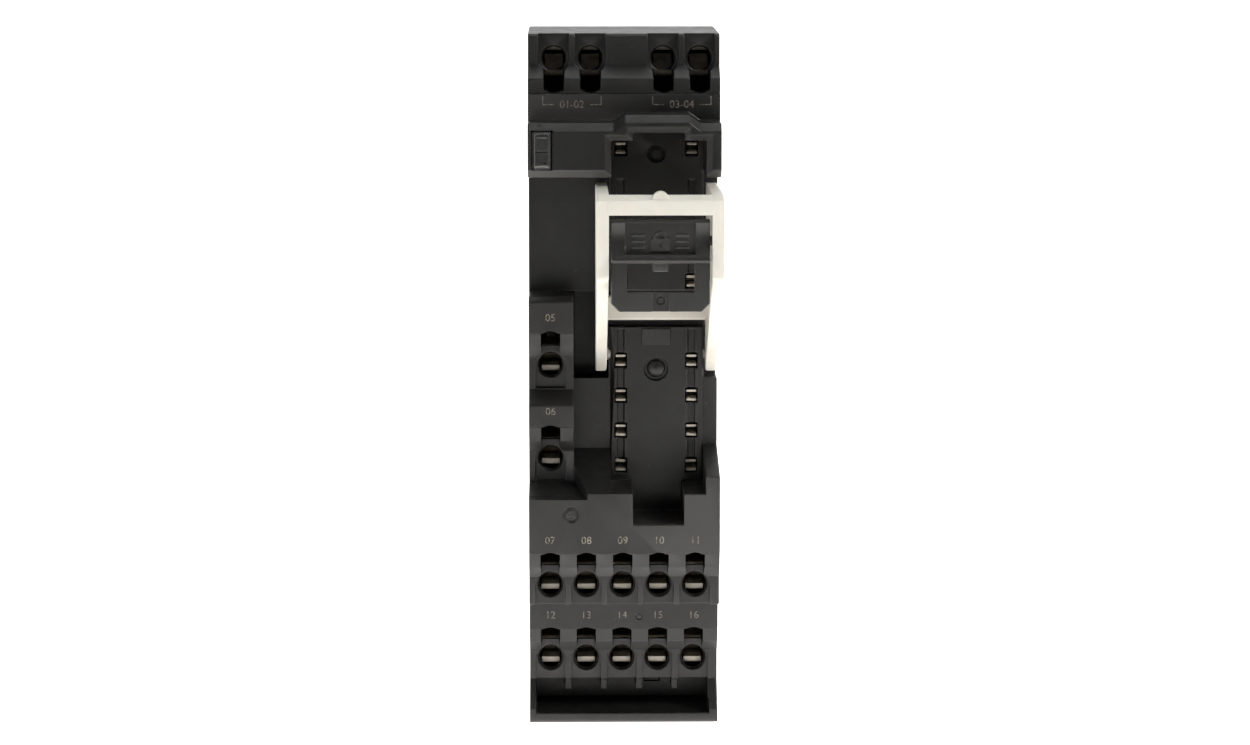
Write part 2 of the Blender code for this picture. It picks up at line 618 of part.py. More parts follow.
def lock_lever():
    """Thumb lever that swings in the clip's window on two trunnions."""
    middle = (LEVER_LEFT + LEVER_RIGHT) / 2
    pivot = spot(middle, LEVER_Z, LEVER_H)
    lever = part("lock_lever", prism("x", lever_profile(), LEVER_LEFT, LEVER_RIGHT), "lever_grey", pivot)
    window = [(0.1, 64.3), (9.35, 64.3), (9.35, 68.2), (5.9, 68.2), (5.9, 67.1), (3.6, 67.1), (3.6, 68.2),
              (0.1, 68.2)]
    corners = [prism("h", [(x, 61), (x + s * 1.7, 61), (x, 62.7)][::s], 24, 27)
               for x, s in ((LEVER_LEFT - 0.01, 1), (LEVER_RIGHT + 0.01, -1))]
    trunnions = [round_bar("x", 0, LEVER_Z, LEVER_H, TRUNNION_RADIUS, -3.6, -1.6, segments=12),
                 round_bar("x", 0, LEVER_Z, LEVER_H, TRUNNION_RADIUS, 11.1, 13.1, segments=12)]
    add(lever, together(trunnions), "trunnions")
    add(lever, box(POCKET_MIDDLE - 0.95, POCKET_MIDDLE + 0.95, 67.2, 68.6, 24.7, 26.6), "nub")
    cut(lever, prism("h", window, 24, 26), "window")
    cut(lever, together(corners), "corners")
    cut(lever, box(-0.1, 9.5, 69.5, 73.9, 25.15, 29), "pad_panel")
    cut(lever, box(3.6, 5.9, 61, 64.4, 25.35, 26), "tab_step")


# ---------------------------------------------------------------- conductors and clamp springs


def strip_outline(path, width):
    """Outline of a strip of the given width that follows a path of square corners, as (x, z)."""
    half = width / 2
    left, right = [], []
    for n, here in enumerate(path):
        here = Vector(here)
        ahead = (Vector(path[n + 1]) - here).normalized() if n + 1 < len(path) else None
        behind = (here - Vector(path[n - 1])).normalized() if n else None
        ahead, behind = ahead or behind, behind or ahead
        side = Vector((-ahead.y, ahead.x)) + Vector((-behind.y, behind.x))
        side *= half / max(side.dot(Vector((-ahead.y, ahead.x))), 1e-9)
        left.append(tuple(here + side))
        right.append(tuple(here - side))
    return right + left[::-1]


def fork_profile(z, layer):
    """Fork contact as (z, h): two sprung tines with flared tips on a short stem."""
    stem = [(0.4, -6.4), (0.4, layer), (-0.4, layer), (-0.4, -6.4)]
    lower = [(-0.8, -6.2), (-0.75, -1.6), (-0.85, -0.35), (-0.5, -0.35), (-0.25, -1.6), (-0.55, -5.2)]
    upper = [(0.55, -5.2), (0.3, -1.6), (0.45, -0.35), (0.8, -0.35), (0.75, -1.6), (0.8, -6.2)]
    return [(z + rise, h) for rise, h in reversed(stem + lower + upper)]


def conductor(name, pin, layer, path, ends):
    """One stamped conductor: a fork at the contact slot, a strip behind the shell, and current bars."""
    x, z = pin
    outline = strip_outline([(x, z), *path], STRIP_WIDTH)
    piece = part(name, prism("h", outline, layer - STRIP_THICK / 2, layer + STRIP_THICK / 2), "tin")
    fork = prism("x", fork_profile(z, layer), x - TINE_WIDTH / 2, x + TINE_WIDTH / 2)
    risers = []
    for bar_x, hole_z, face, up in ends:
        near, far = BAR_RISE[up]
        low, high = sorted((hole_z + near * up, hole_z + far * up))
        risers.append(box(bar_x - BAR_WIDTH / 2, bar_x + BAR_WIDTH / 2, low, high, layer, face - BAR_DEPTH[up]))
    add(piece, together([fork, *risers]), "fork_and_bars")
    return piece


def lane_path(x, z, turns, bar_z):
    """Corners of a lane from its contact at x, z, given where it turns."""
    path = []
    for n, value in enumerate(turns):
        value = bar_z if value is DOWN else value
        here = (value, z) if n % 2 == 0 else (x, value)
        if math.dist(here, (x, z)) > 0.01:
            path.append(here)
        x, z = here
    return path


def conductors():
    """Fourteen conductors. Each goes back from its contact slot, runs in a lane behind the front shell, and
    comes forward again at its terminal."""
    left, right = LEFT_COLUMN, RIGHT_COLUMN
    row_one = [(x, ROW_ONE_Z, ROW_ONE_FACE, 1) for x in CELL_X]
    row_two = [(x, ROW_TWO_Z, ROW_TWO_FACE, 1) for x in CELL_X]
    upper_side = (SIDE_X, UPPER_SIDE_Z, SIDE_FACE, 1)
    lower_side = (SIDE_X, LOWER_SIDE_Z, SIDE_FACE, 1)
    top = [(x, TOP_Z, TOP_FACE, -1) for x in TOP_X]
    coil_z = 88.4
    near, far = BAR_RISE[-1]
    bar_z = TOP_Z - (near + far) / 2
    coil = (
        ("conductor_a1", left, top[:2], [(left, coil_z), (-7.3, coil_z), (-7.3, bar_z)]),
        ("conductor_a2", right, top[2:], [(right, coil_z), (8.1, coil_z), (8.1, bar_z)]),
    )
    for name, x, ends, path in coil:
        piece = conductor(name, (x, COIL_ROW), LAYER_ONE, path, ends)
        half = BAR_WIDTH / 2
        bridge = box(ends[0][0] - half, ends[1][0] + half, TOP_Z - near, TOP_Z - far,
                     LAYER_ONE - STRIP_THICK / 2, LAYER_ONE + STRIP_THICK / 2)
        add(piece, bridge, "bridge")

    first, second, third, fourth, fifth = CELL_X
    between = [(CELL_X[n] + CELL_X[n + 1]) / 2 for n in range(4)]
    # Each lane: where it turns, as x, z, x, z ... from the contact, with DOWN for the height of its own bar.
    lanes = (
        (left, ROWS[0], upper_side, (SIDE_X, DOWN)),
        (left, ROWS[1], lower_side, (-8.0, DOWN, SIDE_X)),
        (left, ROWS[2], row_one[0], (-6.45, 33.0, first, DOWN)),
        (left, ROWS[3], row_two[0], (-4.9, 29.5, between[0], DOWN, first)),
        (left, ROWS[4], row_one[1], (-3.35, 26.5, second, DOWN)),
        (left, ROWS[5], row_two[1], (left, 33.4, -1.8, 23.5, between[1], DOWN, second)),
        (right, ROWS[0], row_one[2], (2.0, 30.0, third, DOWN)),
        (right, ROWS[1], row_two[2], (3.8, 27.0, between[2], DOWN, third)),
        (right, ROWS[2], row_one[3], (5.7, 25.0, fourth, DOWN)),
        (right, ROWS[3], row_two[3], (between[3], DOWN, fourth)),
        (right, ROWS[4], row_two[4], (right, DOWN)),
        (right, ROWS[5], row_one[4], (right, DOWN)),
    )
    for number, (x, z, end, turns) in enumerate(lanes, start=1):
        # The contact in the row above the last reaches its bar under the other strips.
        layer = LAYER_TWO if end is row_two[4] else LAYER_ONE
        conductor(f"conductor_{number:02d}", (x, z), layer, lane_path(x, z, turns, end[1] - 0.75), [end])


def clamp_spring(number, x, z, face, up):
    """Bent leaf of a push-in clamp: anchor leg along the chamber wall, round bend, and clamping leg."""
    crown = face - BEND_DEPTH[up]
    bend = arc((1.95, crown), 0.45, 0, 180, 6)
    path = [(2.5, -7.6), *bend, (BAR_RISE[up][0] + 0.5, crown - 2.0)]
    curve = bpy.data.curves.new("leaf", "CURVE")
    curve.dimensions = "2D"
    curve.extrude = 1.3 * MM
    spline = curve.splines.new("POLY")
    spline.points.add(len(path) - 1)
    for place, (rise, h) in zip(spline.points, path):
        place.co = ((z + up * rise) * MM, h * MM, 0, 1)
    mesh = curve_mesh(curve)
    mesh.transform(Matrix.Translation((x * MM, 0, 0)) @ TURNS["x"].to_4x4())
    leaf = part(f"clamp_spring_{number:02d}", mesh, "spring_steel")
    solid = leaf.modifiers.new("thickness", "SOLIDIFY")
    solid.thickness = 0.3 * MM
    solid.offset = 0
    return leaf


# ---------------------------------------------------------------- status lamp


def status_lamp():
    """Window, board, lamp and series resistor of the status light."""
    window = box(LENS_LEFT, LENS_RIGHT, LENS_BOTTOM, LENS_TOP, 7.6, BAND_FRONT + 0.35)
    lens = part("led_lens", window, "smoke")
    rounding = lens.modifiers.new("rounded_corners", "BEVEL")
    rounding.width = 0.35 * MM
    rounding.segments = 2
    part("led_board", box(-12.5, -7.9, 80.0, 85.8, 3.0, 4.0), "board_green")
    middle_x, middle_z = (LENS_LEFT + LENS_RIGHT) / 2, (LENS_BOTTOM + LENS_TOP) / 2
    lamp = part("led_lamp", round_bar("h", middle_x, middle_z, 0, 0.9, 4.3, 6.9, 0.65, 16), "lamp")
    softened = lamp.modifiers.new("dome", "BEVEL")
    softened.width = 0.2 * MM
    softened.segments = 2
    part("led_resistor", box(-9.4, -8.4, 81.2, 84.4, 4.3, 4.95), "resistor")


def main():
    empty_scene()
    front_shell()
    base_shell()
    rail_latch()
    coil_spring()
    retaining_clip()
    lock_lever()
    conductors()
    for number, (x, z, face, up) in enumerate(terminals(), start=1):
        clamp_spring(number, x, z, face, up)
    status_lamp()


main()
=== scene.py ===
"""Looks of the relay socket: moulded charcoal shells, cream retaining clip, grey lock lever and tinned
contacts."""

import math

import bmesh
import bpy
import numpy as np
from mathutils import Matrix, Vector
from mathutils.geometry import delaunay_2d_cdt


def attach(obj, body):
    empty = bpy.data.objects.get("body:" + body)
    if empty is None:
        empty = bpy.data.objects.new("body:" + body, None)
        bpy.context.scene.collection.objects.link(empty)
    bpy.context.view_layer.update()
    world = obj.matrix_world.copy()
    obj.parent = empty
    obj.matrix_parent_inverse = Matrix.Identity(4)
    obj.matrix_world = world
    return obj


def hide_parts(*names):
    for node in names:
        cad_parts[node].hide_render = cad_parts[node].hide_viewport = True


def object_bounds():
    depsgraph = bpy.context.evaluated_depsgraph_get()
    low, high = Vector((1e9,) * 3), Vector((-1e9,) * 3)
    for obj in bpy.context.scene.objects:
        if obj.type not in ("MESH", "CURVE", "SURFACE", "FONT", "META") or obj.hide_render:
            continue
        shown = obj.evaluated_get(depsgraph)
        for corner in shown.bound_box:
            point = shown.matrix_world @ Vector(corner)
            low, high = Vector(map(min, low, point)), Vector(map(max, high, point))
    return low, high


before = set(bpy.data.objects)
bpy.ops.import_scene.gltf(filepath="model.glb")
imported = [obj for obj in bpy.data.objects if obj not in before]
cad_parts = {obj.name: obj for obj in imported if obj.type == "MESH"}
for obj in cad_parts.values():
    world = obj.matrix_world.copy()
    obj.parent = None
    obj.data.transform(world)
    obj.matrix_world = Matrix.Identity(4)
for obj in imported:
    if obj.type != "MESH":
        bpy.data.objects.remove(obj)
cad_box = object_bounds()

MM = 0.001
RAIL_SEAT = -13.0
RAIL_MIDDLE = 50.0
TERMINAL_X = [-10.5 + 5.13 * n for n in range(5)]
COIL_X = (-7.3, 8.1)
COIL_MARK_Z = 88.75
POCKET_MIDDLE = 4.71
BRIGHT_SIDE = (0.0, 0.8, -0.6)
WALLS = ((0.0, 0.045), (0.55, 1.0))
GLOW_FADES, GLOW_FULL = -0.4, -0.06


def spot(x, z, h):
    """World place in millimetres: x right, z up from the lower terminals, h forward of the contact face."""
    return Vector((x * MM, (RAIL_SEAT - h) * MM, (z - RAIL_MIDDLE) * MM))


# ---------------------------------------------------------------- camera, floor and light


def aim(obj, target):
    obj.rotation_mode = "QUATERNION"
    obj.rotation_quaternion = (Vector(target) - obj.location).to_track_quat("-Z", "Y")


def link(obj):
    bpy.context.scene.collection.objects.link(obj)
    return obj


def make_camera():
    data = bpy.data.cameras.new("camera")
    data.lens = 112.8
    data.sensor_width = 36.0
    data.clip_start = 0.01
    data.clip_end = 20.0
    camera = link(bpy.data.objects.new("camera", data))
    camera.location = (-0.00857, -0.5697, 0.07617)
    aim(camera, (0.00018, -0.018, 0.00043))
    bpy.context.scene.camera = camera


def make_light(name, place, target, size, power, colour, spread=180):
    data = bpy.data.lights.new(name, "AREA")
    data.shape = "RECTANGLE"
    data.size, data.size_y = size
    data.energy = power
    data.color = colour
    data.spread = math.radians(spread)
    light = link(bpy.data.objects.new(name, data))
    light.location = place
    aim(light, target)


def make_world():
    """Studio walls: bright low behind the object, softer at the sides and dark around the camera."""
    world = bpy.data.worlds.new("walls")
    world.use_nodes = True
    tree = world.node_tree
    place = tree.nodes.new("ShaderNodeTexCoord")
    toward = tree.nodes.new("ShaderNodeVectorMath")
    toward.operation = "DOT_PRODUCT"
    toward.inputs[1].default_value = BRIGHT_SIDE
    ramp = tree.nodes.new("ShaderNodeValToRGB")
    for element, (position, grey) in zip(ramp.color_ramp.elements, WALLS):
        element.position = position
        element.color = (grey, grey, grey, 1)
    tree.links.new(place.outputs["Generated"], toward.inputs[0])
    tree.links.new(toward.outputs["Value"], ramp.inputs["Fac"])
    tree.links.new(ramp.outputs["Color"], tree.nodes["Background"].inputs["Color"])
    tree.nodes["Background"].inputs["Strength"].default_value = 1.3
    bpy.context.scene.world = world


def make_studio():
    """Soft keys from both sides of the camera and a soft light overhead."""
    make_world()
    bpy.context.scene.view_settings.view_transform = "Standard"
    make_light("key", (0.85, -0.5, 0.75), (0, 0, 0), (0.5, 0.5), 0.72, (1.0, 0.985, 0.96), 32)
    make_light("overhead", (0, 0.2, 1.2), (0, 0, 0), (0.8, 0.8), 3.6, (1, 1, 1))
    make_light("left_fill", (-0.95, -0.35, 0.35), (0, 0, 0), (0.4, 0.8), 0.33, (0.93, 0.96, 1.0), 32)


def make_floor():
    """Pale floor, lit softly from below around and behind the object like a light table."""
    mesh = bpy.data.meshes.new("floor")
    z = cad_box[0].z - 0.0002
    mesh.from_pydata([(-4, -4, z), (4, -4, z), (4, 4, z), (-4, 4, z)], [], [(0, 1, 2, 3)])
    paint = bpy.data.materials.new("floor")
    paint.use_nodes = True
    tree = paint.node_tree
    shader = tree.nodes["Principled BSDF"]
    shader.inputs["Base Color"].default_value = (0.88, 0.88, 0.88, 1)
    shader.inputs["Roughness"].default_value = 0.95
    shader.inputs["Specular IOR Level"].default_value = 0.1
    shader.inputs["Emission Color"].default_value = (1.0, 0.965, 0.92, 1)
    place = tree.nodes.new("ShaderNodeTexCoord")
    split = tree.nodes.new("ShaderNodeSeparateXYZ")
    glow = tree.nodes.new("ShaderNodeMapRange")
    glow.interpolation_type = "SMOOTHSTEP"
    glow.inputs["From Min"].default_value = GLOW_FADES
    glow.inputs["From Max"].default_value = GLOW_FULL
    glow.inputs["To Max"].default_value = 1.6
    tree.links.new(place.outputs["Object"], split.inputs["Vector"])
    tree.links.new(split.outputs["Y"], glow.inputs["Value"])
    tree.links.new(glow.outputs["Result"], shader.inputs["Emission Strength"])
    mesh.materials.append(paint)
    link(bpy.data.objects.new("floor", mesh))


# ---------------------------------------------------------------- materials


class Paint:
    """A Principled material and a short way to hang nodes on it."""

    def __init__(self, name, roughness, metallic=0.0):
        self.material = bpy.data.materials.new(name)
        self.material.use_nodes = True
        self.tree = self.material.node_tree
        self.shader = self.tree.nodes["Principled BSDF"]
        self.shader.inputs["Roughness"].default_value = roughness
        self.shader.inputs["Metallic"].default_value = metallic
        self.place = self.tree.nodes.new("ShaderNodeTexCoord").outputs["Object"]

    def node(self, kind, **values):
        made = self.tree.nodes.new(kind)
        for key, value in values.items():
            setattr(made, key, value)
        return made

    def join(self, source, target):
        self.tree.links.new(source, target)

    def set(self, name, value):
        self.shader.inputs[name].default_value = value

    def noise(self, per_mm, detail=2.0, stretch=None, roughness=0.5):
        """Noise with about per_mm features in a millimetre; stretch scales its axes."""
        texture = self.node("ShaderNodeTexNoise")
        texture.inputs["Scale"].default_value = per_mm * 1000
        texture.inputs["Detail"].default_value = detail
        texture.inputs["Roughness"].default_value = roughness
        place = self.place
        if stretch:
            mapping = self.node("ShaderNodeMapping")
            mapping.inputs["Scale"].default_value = stretch
            self.join(place, mapping.inputs["Vector"])
            place = mapping.outputs["Vector"]
        self.join(place, texture.inputs["Vector"])
        return texture.outputs["Fac"]

    def ramp(self, source, *stops):
        """Colour ramp through (position, colour) stops; a number is a grey."""
        ramp = self.node("ShaderNodeValToRGB")
        elements = ramp.color_ramp.elements
        while len(elements) < len(stops):
            elements.new(0.5)
        for element, (position, colour) in zip(elements, stops):
            element.position = position
            element.color = (*colour, 1) if isinstance(colour, tuple) else (colour, colour, colour, 1)
        self.join(source, ramp.inputs["Fac"])
        return ramp.outputs["Color"]

    def mix(self, factor, first, second, blend="MIX"):
        mix = self.node("ShaderNodeMix", data_type="RGBA", blend_type=blend)
        sockets = (mix.inputs["Factor"], mix.inputs[6], mix.inputs[7])
        for socket, value in zip(sockets, (factor, first, second)):
            if isinstance(value, bpy.types.NodeSocket):
                self.join(value, socket)
            else:
                socket.default_value = value if isinstance(value, float) else (*value, 1)
        return mix.outputs[2]

    def bump(self, source, depth_mm, after=None):
        bump = self.node("ShaderNodeBump")
        bump.inputs["Distance"].default_value = depth_mm * MM
        bump.inputs["Strength"].default_value = 1.0
        self.join(source, bump.inputs["Height"])
        if after:
            self.join(after, bump.inputs["Normal"])
        self.join(bump.outputs["Normal"], self.shader.inputs["Normal"])
        return bump.outputs["Normal"]

    def edges(self, low, high):
        """1 on convex edges, 0 on flats and in corners."""
        geometry = self.node("ShaderNodeNewGeometry")
        return self.ramp(geometry.outputs["Pointiness"], (low, 0.0), (high, 1.0))

    def colour(self, source):
        self.join(source, self.shader.inputs["Base Color"])

    def rough(self, source):
        self.join(source, self.shader.inputs["Roughness"])


def moulded(name, base, roughness, wear_and_highlight, grain=0.004):
    """Moulded plastic: spark-eroded grain, slow mottling, a painted highlight that lightens convex edges,
    and a few specks of dust.
    """
    paint = Paint(name, roughness)
    dark = tuple(c * 0.82 for c in base)
    light = tuple(c * 1.22 for c in base)
    body = paint.ramp(paint.noise(0.16, 3.0), (0.35, dark), (0.65, light))
    # Painted highlight: convex edges are blended towards a lighter colour, standing in for light caught on
    # the rounded edges.
    highlit_edges = paint.mix(paint.edges(0.52, 0.60), body, wear_and_highlight)
    speck = paint.ramp(paint.noise(2.3, 1.0), (0.74, 0.0), (0.78, 0.55))
    paint.colour(paint.mix(speck, highlit_edges, tuple(min(1, c * 1.6 + 0.03) for c in base)))
    patches = paint.noise(0.5, 4.0, roughness=0.6)
    paint.rough(paint.ramp(patches, (0.3, roughness - 0.06), (0.7, roughness + 0.08)))
    coarse = paint.bump(paint.noise(5.0, 2.0), grain)
    paint.bump(paint.noise(0.35, 2.0), grain * 2.5, after=coarse)
    return paint


def charcoal():
    # The fourth colour is the painted highlight on convex edges.
    return moulded("charcoal", (0.0068, 0.0068, 0.0063), 0.40, (0.035, 0.034, 0.032)).material


def lever_grey():
    # The fourth colour is the painted highlight on convex edges.
    return moulded("lever_grey", (0.021, 0.021, 0.0195), 0.40, (0.05, 0.05, 0.047)).material


def cream():
    """Cream polyamide: light passes a little way in, so that thin edges glow."""
    paint = Paint("cream", 0.38)
    clouds = paint.noise(0.22, 3.0)
    paint.colour(paint.ramp(clouds, (0.3, (0.692, 0.667, 0.597)), (0.7, (0.744, 0.728, 0.668))))
    paint.rough(paint.ramp(paint.noise(0.6, 4.0), (0.3, 0.32), (0.7, 0.46)))
    paint.set("Subsurface Weight", 0.35)
    paint.set("Subsurface Radius", (1.0, 0.85, 0.6))
    paint.set("Subsurface Scale", 0.0009)
    fine = paint.bump(paint.noise(3.5, 2.0), 0.003)
    paint.bump(paint.noise(0.25, 2.0), 0.012, after=fine)
    return paint.material


def rolled(name, dark, light, roughness, stretch, metallic):
    """Rolled metal strip with fine drawn lines and a dull tarnish."""
    paint = Paint(name, roughness, metallic)
    tone = paint.ramp(paint.noise(0.7, 4.0), (0.32, dark), (0.68, light))
    paint.colour(tone)
    lines = paint.noise(3.0, 3.0, stretch=stretch)
    paint.rough(paint.ramp(lines, (0.3, roughness - 0.08), (0.7, roughness + 0.1)))
    paint.bump(lines, 0.004)
    return paint.material


def smoke():
    """Smoke-tinted clear window over the status lamp."""
    paint = Paint("smoke", 0.06)
    clouds = paint.noise(0.6, 2.0)
    paint.colour(paint.ramp(clouds, (0.3, (0.045, 0.045, 0.044)), (0.7, (0.075, 0.075, 0.073))))
    paint.set("Transmission Weight", 0.55)
    paint.set("IOR", 1.58)
    paint.set("Coat Weight", 0.8)
    paint.set("Coat Roughness", 0.04)
    paint.rough(paint.ramp(paint.noise(1.2, 3.0), (0.3, 0.05), (0.7, 0.16)))
    paint.bump(paint.noise(0.4, 1.0), 0.01)
    return paint.material


def printed():
    """Pad-printed ink, slightly worn."""
    paint = Paint("print", 0.6)
    wear_and_highlight = paint.noise(3.0, 4.0)
    paint.colour(paint.ramp(wear_and_highlight, (0.38, (0.075, 0.068, 0.055)), (0.6, (0.24, 0.215, 0.175))))
    paint.bump(paint.noise(6.0, 2.0), 0.002)
    return paint.material


def board():
    paint = Paint("board", 0.45)
    weave = paint.noise(2.0, 2.0, stretch=(1.0, 1.0, 0.2))
    paint.colour(paint.ramp(weave, (0.4, (0.018, 0.11, 0.045)), (0.6, (0.03, 0.16, 0.07))))
    paint.bump(weave, 0.006)
    return paint.material


def lamp():
    paint = Paint("lamp", 0.18)
    paint.colour(paint.ramp(paint.noise(1.5, 2.0), (0.3, (0.72, 0.66, 0.28)), (0.7, (0.86, 0.82, 0.45))))
    paint.set("Coat Weight", 0.5)
    paint.bump(paint.noise(2.0, 1.0), 0.002)
    return paint.material


def glazed():
    paint = Paint("glazed_black", 0.3)
    paint.colour(paint.ramp(paint.noise(2.0, 2.0), (0.4, (0.012, 0.012, 0.012)), (0.6, (0.03, 0.03, 0.03))))
    paint.bump(paint.noise(4.0, 2.0), 0.003)
    return paint.material


# ---------------------------------------------------------------- rounding


def flat_faced(mesh, angle=0.6):
    """The mesh with its flat areas as single many-sided faces."""
    shape = bmesh.new()
    shape.from_mesh(mesh)
    bmesh.ops.remove_doubles(shape, verts=shape.verts, dist=1e-6)
    bmesh.ops.dissolve_limit(
        shape, angle_limit=math.radians(angle), verts=shape.verts, edges=shape.edges, delimit=set()
    )
    return shape


def flats(shape, tolerance=0.002):
    """Sets of neighbouring faces that lie in one plane, for every plane with a many-sided face."""
    found, seen = [], set()
    for seed in shape.faces:
        if seed in seen or len(seed.verts) <= 4 or seed.material_index == 1:
            continue
        region, front = {seed}, [seed]
        while front:
            for edge in front.pop().edges:
                for face in edge.link_faces:
                    level = face.normal.angle(seed.normal, 4) < tolerance
                    if level and face not in region and face.material_index == seed.material_index:
                        region.add(face)
                        front.append(face)
        seen |= region
        found.append((seed.normal.copy(), region))
    return found


def rim(region):
    edges = (edge for face in region for edge in face.edges)
    return [edge for edge in edges if sum(link in region for link in edge.link_faces) == 1]


def room_inside(edges):
    """For each edge round a flat, how far it can move before it meets another edge of the flat."""
    start = np.array([edge.verts[0].co for edge in edges])
    end = np.array([edge.verts[1].co for edge in edges])
    ends = np.array([[vert.index for vert in edge.verts] for edge in edges])
    along = end - start
    length = np.linalg.norm(along, axis=1)

    def gap(points):
        away = points[:, None] - start[None]
        share = np.clip((away * along[None]).sum(-1) / np.maximum(length**2, 1e-18), 0, 1)
        return np.linalg.norm(away - share[..., None] * along[None], axis=-1)

    near = np.minimum(gap(start), gap(end))
    near = np.minimum(near, near.T)
    touching = (ends[:, None, :, None] == ends[None, :, None, :]).any(axis=(2, 3))
    unit = along / np.maximum(length, 1e-9)[:, None]
    turn = np.linalg.norm(np.cross(unit[:, None], unit[None]), axis=-1)
    beside = np.where(turn > 0.3, length[None] * turn, 1.0)
    near = np.where(touching, beside, near)
    np.fill_diagonal(near, 1.0)
    return near.min(axis=1)


def mark_edges(shape, widest, angle):
    """Sets how far each sharp edge may be rounded, as a share of the widest rounding."""
    shape.normal_update()
    shape.verts.index_update()
    shape.edges.index_update()
    groups = [rim(region) for _, region in flats(shape)]
    groups += [list(face.edges) for face in shape.faces if len(face.verts) <= 4]
    room = {}
    for edges in groups:
        for edge, free in zip(edges, room_inside(edges)):
            room[edge.index] = min(room.get(edge.index, 1.0), float(free))
    layer = shape.edges.layers.float.new("bevel_weight_edge")
    for edge in shape.edges:
        if len(edge.link_faces) == 2 and edge.calc_face_angle(0) > math.radians(angle):
            edge[layer] = min(widest, 0.42 * room.get(edge.index, 0)) / widest


def turns_round(points, start, end):
    """How many times an outline of directed edges goes round each point."""
    one, two = start[None] - points[:, None], end[None] - points[:, None]
    cross = one[..., 0] * two[..., 1] - one[..., 1] * two[..., 0]
    return np.arctan2(cross, (one * two).sum(-1)).sum(axis=1) / (2 * math.pi)


def relaid(shape):
    """Lays the faces of every flat anew from its outline, so that none of them overlap."""
    shape.normal_update()
    for normal, region in flats(shape):
        across = normal.orthogonal().normalized()
        up = normal.cross(across)
        loops = [loop for face in region for loop in face.loops
                 if sum(link in region for link in loop.edge.link_faces) == 1]
        verts = list({loop.vert for loop in loops} | {loop.link_loop_next.vert for loop in loops})
        order = {vert: n for n, vert in enumerate(verts)}
        ties = [(order[loop.vert], order[loop.link_loop_next.vert]) for loop in loops]
        places = [Vector((vert.co.dot(across), vert.co.dot(up))) * 1000 for vert in verts]
        height = sum(vert.co.dot(normal) for vert in verts) / len(verts)
        points, _, faces, sources, _, _ = delaunay_2d_cdt(places, ties, [], 0, 1e-5)
        flat = np.array([tuple(point) for point in points])
        plan = np.array([tuple(place) for place in places])
        tied = np.array(ties)
        middles = np.array([flat[list(loop)].mean(axis=0) for loop in faces])
        inside = turns_round(middles, plan[tied[:, 0]], plan[tied[:, 1]]) > 0.5
        bmesh.ops.delete(shape, geom=list(region), context="FACES")
        corners = []
        for point, source in zip(points, sources):
            if source:
                corners.append(verts[source[0]])
            else:
                place = across * point.x / 1000 + up * point.y / 1000 + normal * height
                corners.append(shape.verts.new(place))
        for loop, kept in zip(faces, inside):
            if kept and shape.faces.get([corners[n] for n in loop]) is None:
                shape.faces.new([corners[n] for n in loop])
    return shape


def corner_normals(shape, smooth=30):
    """Normals for every face corner: flats stay flat and the narrow rounded strips blend between them."""
    shape.normal_update()
    limit = math.cos(math.radians(smooth))
    weight = {face: face.normal * face.calc_area() for face in shape.faces}
    result = []
    for face in shape.faces:
        strip = face.material_index == 1
        for loop in face.loops:
            around = [other for other in loop.vert.link_faces if other.material_index == 0]
            if strip:
                around = around or list(loop.vert.link_faces)
            else:
                around = [other for other in around if other.normal.dot(face.normal) > limit]
            total = sum((weight[other] for other in around), Vector())
            result.append(total.normalized() if total.length > 0 else face.normal)
    return result


def cutter(name, mesh):
    obj = link(bpy.data.objects.new(name, mesh))
    obj.hide_render = True
    return obj


def with_details(shape, details):
    """The shape after Booleans with (operation, mesh) details."""
    mesh = bpy.data.meshes.new("base")
    shape.to_mesh(mesh)
    shape.free()
    holder = link(bpy.data.objects.new("base", mesh))
    helpers = []
    for operation, detail in details:
        helpers.append(cutter("detail", detail))
        modifier = holder.modifiers.new("detail", "BOOLEAN")
        modifier.operation = operation
        modifier.solver = "EXACT"
        modifier.object = helpers[-1]
    graph = bpy.context.evaluated_depsgraph_get()
    mesh = bpy.data.meshes.new_from_object(holder.evaluated_get(graph))
    for obj in (holder, *helpers):
        bpy.data.objects.remove(obj)
    return flat_faced(mesh)


def bevelled(shape, widest, segments, angle):
    """The shape with its sharp edges rounded, as a mesh."""
    mark_edges(shape, widest, angle)
    for face in shape.faces:
        face.material_index = 0
        face.smooth = True
    mesh = bpy.data.meshes.new("sharp")
    shape.to_mesh(mesh)
    shape.free()
    mesh.materials.clear()
    for _ in range(2):
        mesh.materials.append(None)
    holder = link(bpy.data.objects.new("sharp", mesh))
    bevel = holder.modifiers.new("edges", "BEVEL")
    bevel.width = widest
    bevel.segments = segments
    bevel.limit_method = "WEIGHT"
    bevel.use_clamp_overlap = False
    bevel.miter_outer = "MITER_SHARP"
    bevel.material = 1
    graph = bpy.context.evaluated_depsgraph_get()
    mesh = bpy.data.meshes.new_from_object(holder.evaluated_get(graph))
    bpy.data.objects.remove(holder)
    shape = bmesh.new()
    shape.from_mesh(mesh)
    normals = corner_normals(relaid(shape))
    shape.to_mesh(mesh)
    shape.free()
    for polygon in mesh.polygons:
        polygon.use_smooth = True
    mesh.normals_split_custom_set(normals)
    return mesh


def rounded(node, name, body, paint, widest, segments=2, angle=24, details=()):
    """A copy of a node with its details added and its edges rounded, which stands for the node."""
    shape = flat_faced(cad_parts[node].data)
    if details:
        shape = with_details(shape, details)
    mesh = bevelled(shape, widest * MM, segments, angle)
    mesh.name = name
    mesh.materials.clear()
    mesh.materials.append(paint)
    for polygon in mesh.polygons:
        polygon.material_index = 0
    piece = link(bpy.data.objects.new(name, mesh))
    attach(piece, body)
    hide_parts(node)
    return piece


# ---------------------------------------------------------------- detail shapes


